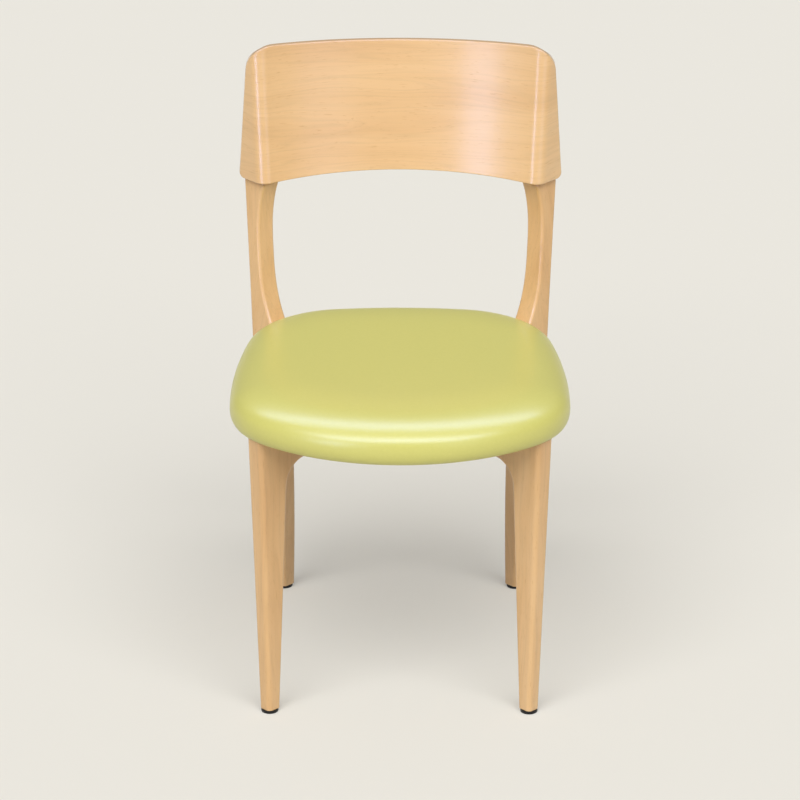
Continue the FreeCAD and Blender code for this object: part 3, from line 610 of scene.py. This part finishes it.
def backrest(material):
    """Bent panel with eased edges. Each point keeps its place along the grain, in the thickness and up."""
    columns = [2 * count / PANEL_COLUMNS - 1 for count in range(PANEL_COLUMNS + 1)]
    rows = [0.5 - 0.5 * math.cos(math.pi * count / PANEL_ROWS) for count in range(PANEL_ROWS + 1)]
    rim = [(across, rows[0]) for across in columns[:-1]]
    rim += [(columns[-1], up) for up in rows[:-1]]
    rim += [(across, rows[-1]) for across in reversed(columns[1:])]
    rim += [(columns[0], up) for up in reversed(rows[1:])]
    turns = [count / EASE_STEPS * math.pi / 2 for count in range(EASE_STEPS + 1)]
    edge = [(PANEL_EASE * (1 - math.sin(turn)), PANEL_EASE * (1 - math.cos(turn))) for turn in turns]
    edge += [(inset, PANEL_THICKNESS - depth) for inset, depth in reversed(edge)]
    points, faces, grain = [], [], []

    def add(across, up, inset, depth):
        point = panel_point(across, up, inset, depth)
        points.append(point)
        grain.append((math.copysign(panel_run(abs(point.x), point.z), point.x), depth, point.z))
        return len(points) - 1

    loops = []
    for depth, flip in ((0.0, False), (PANEL_THICKNESS, True)):
        grid = [[add(across, up, PANEL_EASE, depth) for across in columns] for up in rows]
        for lower, upper in zip(grid, grid[1:]):
            for count in range(PANEL_COLUMNS):
                face = [lower[count], lower[count + 1], upper[count + 1], upper[count]]
                faces.append(face[::-1] if flip else face)
        loops.append(grid[0][:-1] + [row[-1] for row in grid[:-1]] + grid[-1][:0:-1]
                     + [row[0] for row in reversed(grid[1:])])
    bands = [loops[0]]
    for inset, depth in edge[1:-1]:
        bands.append([add(across, up, inset, depth) for across, up in rim])
    bands.append(loops[1])
    for front, rear in zip(bands, bands[1:]):
        for count in range(len(rim)):
            after = (count + 1) % len(rim)
            faces.append([front[count], rear[count], rear[after], front[after]])
    panel = mesh_piece("backrest", points, faces, material)
    attribute = panel.data.attributes.new("grain", "FLOAT_VECTOR", "POINT")
    attribute.data.foreach_set("vector", [value for place in grain for value in place])
    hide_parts("backrest_panel")


# Finish of the pieces that come from the frame

def dress(steel):
    upright = beech("beech_upright", 2)
    crosswise = beech("beech_crosswise", 0)
    lengthwise = beech("beech_lengthwise", 1)
    black = plain("black_plastic", linear(13, 13, 12), linear(20, 19, 19),
                  scale=900.0, roughness=0.38, bump=0.00004, specular_ior_level=0.35)
    board = plain("raw_board", linear(200, 168, 122), linear(182, 148, 102),
                  scale=240.0, roughness=0.7, bump=0.0001)
    for name, obj in NODES.items():
        if "leg" in name:
            finish = upright
        elif name in ("front_rail", "rear_rail") or "block_" in name and "screws" not in name:
            finish = crosswise
        elif "side_rail" in name or name in ("rail_dowels", "back_plugs"):
            finish = lengthwise
        elif name.startswith("glide_") and name != "glide_pins":
            finish = black
        elif name == "seat_board":
            finish = board
        else:
            finish = steel
        obj.data.materials.clear()
        obj.data.materials.append(finish)


# Stage, light and camera

FLOOR_SEEN = linear(236, 233, 225)
FLOOR_BOUNCE = linear(208, 206, 200)
SKY_COLOUR = linear(244, 243, 240)


def floor():
    """Pale floor that keeps the shadow. It shows a little paler than it throws light back."""
    mesh = bpy.data.meshes.new("floor")
    corners = [(x * FLOOR_REACH, y * FLOOR_REACH, 0) for x, y in ((-1, -1), (1, -1), (1, 1), (-1, 1))]
    mesh.from_pydata(corners, [], [(0, 1, 2, 3)])
    material, tree, shader = new_material("studio_floor")
    shader.inputs["Roughness"].default_value = 1.0
    shader.inputs["Specular IOR Level"].default_value = 0.0
    rays = node(tree, "LightPath").outputs
    seen = rays["Is Camera Ray"]
    for kind in ("Is Glossy Ray", "Is Transmission Ray"):
        seen = node(tree, "Math", {0: seen, 1: rays[kind]}, operation="MAXIMUM").outputs["Value"]
    plug(tree, shader, "Base Color", blend(tree, seen, FLOOR_BOUNCE, FLOOR_SEEN))
    share = node(tree, "Math", {0: seen, 1: FLOOR_GLOW}, operation="MULTIPLY").outputs["Value"]
    glow = node(tree, "Emission", {"Color": FLOOR_SEEN, "Strength": 1.0})
    ground = node(tree, "MixShader", {"Fac": share, 1: shader.outputs["BSDF"], 2: glow.outputs["Emission"]})
    tree.links.new(ground.outputs["Shader"], tree.nodes["Material Output"].inputs["Surface"])
    mesh.materials.append(material)
    link(bpy.data.objects.new("floor", mesh))


def sun(name, side, energy):
    """Wide soft sun from the front of one side, which lights surfaces without a glint."""
    light = bpy.data.lights.new(name, "SUN")
    light.energy = energy
    light.angle = SUN_WIDTH
    obj = link(bpy.data.objects.new(name, light))
    obj.rotation_euler = (SUN_TILT, 0, side * SUN_TURN)
    obj.visible_glossy = False


def card(name, place, target, size, power):
    """Bright card that shows in glossy surfaces and adds nothing to the plain light."""
    light = bpy.data.lights.new(name, "AREA")
    light.shape = "RECTANGLE"
    light.size, light.size_y = size
    light.energy = power
    light.color = CARD_COLOUR
    obj = link(bpy.data.objects.new(name, light))
    obj.location = place
    obj.rotation_euler = (Vector(target) - Vector(place)).to_track_quat("-Z", "Y").to_euler()
    obj.visible_diffuse = False


def studio():
    floor()
    sun("left_sun", side=-1, energy=1.57)
    sun("right_sun", side=1, energy=1.37)
    card("front_card", (0.0, -4.2, 4.7), SEAT_TARGET, size=(10.0, 1.7), power=420.0)
    card("top_card", (0.0, 1.0, 5.4), SEAT_TARGET, size=(10.0, 1.8), power=400.0)
    card("left_card", (-2.8, -3.9, 1.1), BACK_TARGET, size=(1.2, 1.5), power=48.0)
    card("right_card", (2.6, -4.0, 1.1), BACK_TARGET, size=(2.0, 1.5), power=14.0)
    world = bpy.data.worlds.new("studio")
    bpy.context.scene.world = world
    world.use_nodes = True
    sky = world.node_tree.nodes["Background"]
    sky.inputs["Color"].default_value = SKY_COLOUR
    sky.inputs["Strength"].default_value = SKY_STRENGTH


def camera():
    data = bpy.data.cameras.new("camera")
    data.lens = CAMERA_LENS
    data.sensor_width = CAMERA_SENSOR
    obj = link(bpy.data.objects.new("camera", data))
    obj.location = CAMERA_PLACE
    aim = Euler((math.pi / 2 - CAMERA_PITCH, 0, 0)).to_matrix() @ Matrix.Rotation(CAMERA_ROLL, 3, "Z")
    obj.rotation_euler = aim.to_euler()
    bpy.context.scene.camera = obj


camera()
studio()
zinc = plain("zinc_steel", linear(186, 187, 188), linear(160, 161, 163),
             scale=500.0, roughness=0.32, bump=0.00003, metallic=1.0)
dress(zinc)
seat_pad(vinyl())
dust_cloth(plain("black_cloth", linear(30, 30, 31), linear(44, 44, 45),
                 scale=1800.0, roughness=0.85, bump=0.0002))
staples(zinc)
backrest(veneer())
bpy.context.scene.view_settings.view_transform = "Standard"
